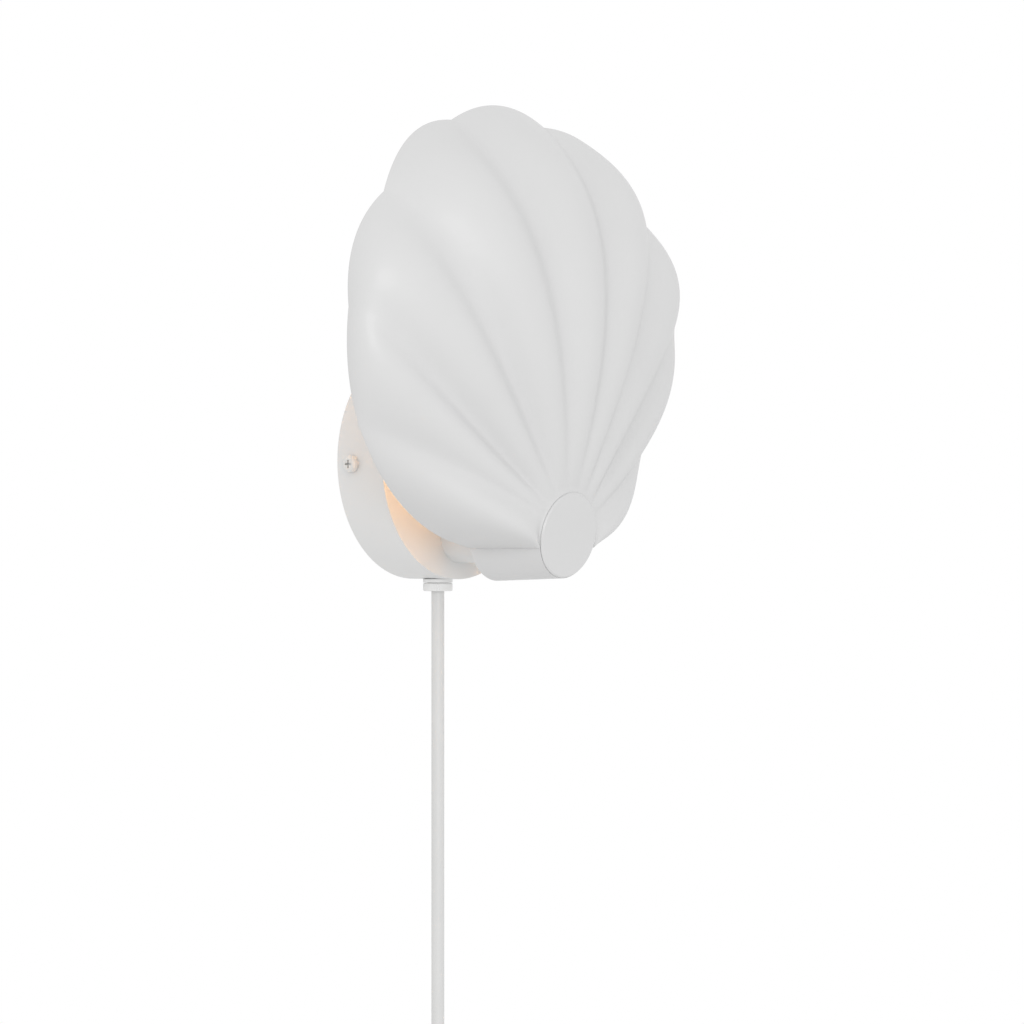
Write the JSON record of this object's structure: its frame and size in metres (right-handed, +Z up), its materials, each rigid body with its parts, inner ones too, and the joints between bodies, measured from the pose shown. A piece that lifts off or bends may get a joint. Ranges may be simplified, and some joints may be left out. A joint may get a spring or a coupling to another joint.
{
  "type": "shell wall light",
  "caption": "Plug-in wall light: a fluted scallop shell shade fans up from a short hub on a round canopy, with a lamp behind it and a cord with a switch.",
  "frame": {"origin": "middle of the round canopy, on the plane of the wall", "axes": "+Z up, -Y out from the wall, +X to the right for someone who faces the light"},
  "size_m": [0.2352, 0.1165, 0.6288],
  "materials": {
    "shade_white": "satin",
    "canopy_white": "satin",
    "screw_steel": "satin",
    "zinc_steel": "satin",
    "holder_white": "gloss",
    "cap_aluminium": "satin",
    "bulb_opal": "opal, lit",
    "block_white": "matte",
    "lead_white": "satin",
    "grommet_rubber": "matte",
    "core_brown": "satin",
    "gland_white": "satin",
    "cord_white": "satin",
    "tie_white": "matte",
    "switch_white": "satin",
    "rocker_white": "gloss",
    "plug_white": "satin",
    "pin_brass": "satin"
  },
  "bodies": {
    "wall_light": {"shade": "shade_white", "hub_cap": "shade_white", "canopy": "canopy_white", "canopy_screws": "screw_steel", "wall_bracket": "zinc_steel", "shade_stem": "canopy_white", "stem_nut": "zinc_steel", "stem_washer": "zinc_steel", "shade_screw": "zinc_steel", "shade_washer": "zinc_steel", "lamp_bracket": "zinc_steel", "bracket_screws": "zinc_steel", "bracket_nuts": "zinc_steel", "lamp_nipple": "zinc_steel", "nipple_nut": "zinc_steel", "lampholder": "holder_white", "bulb_base": "cap_aluminium", "bulb_glass": "bulb_opal", "terminal_block": "block_white", "terminal_screws": "zinc_steel", "block_screw": "zinc_steel", "inner_lead": "lead_white", "lead_grommet": "grommet_rubber", "supply_cores": "core_brown", "cord_gland": "gland_white", "gland_nut": "gland_white", "gland_locknut": "zinc_steel", "power_cord": "cord_white", "cord_coil": "cord_white", "coil_tie": "tie_white", "switch_lower": "switch_white", "switch_upper": "switch_white", "switch_screws": "screw_steel", "plug_relief": "plug_white", "plug_body": "plug_white", "plug_pins": "pin_brass"},
    "rocker": {"switch_rocker": "rocker_white"}
  },
  "joints": [
    {"name": "rocker_press", "type": "hinge", "parent": "wall_light", "child": "rocker", "pos_m": [0, -0.0216, -0.3], "axis": [1, 0, 0], "range_deg": [0, 16]}
  ]
}
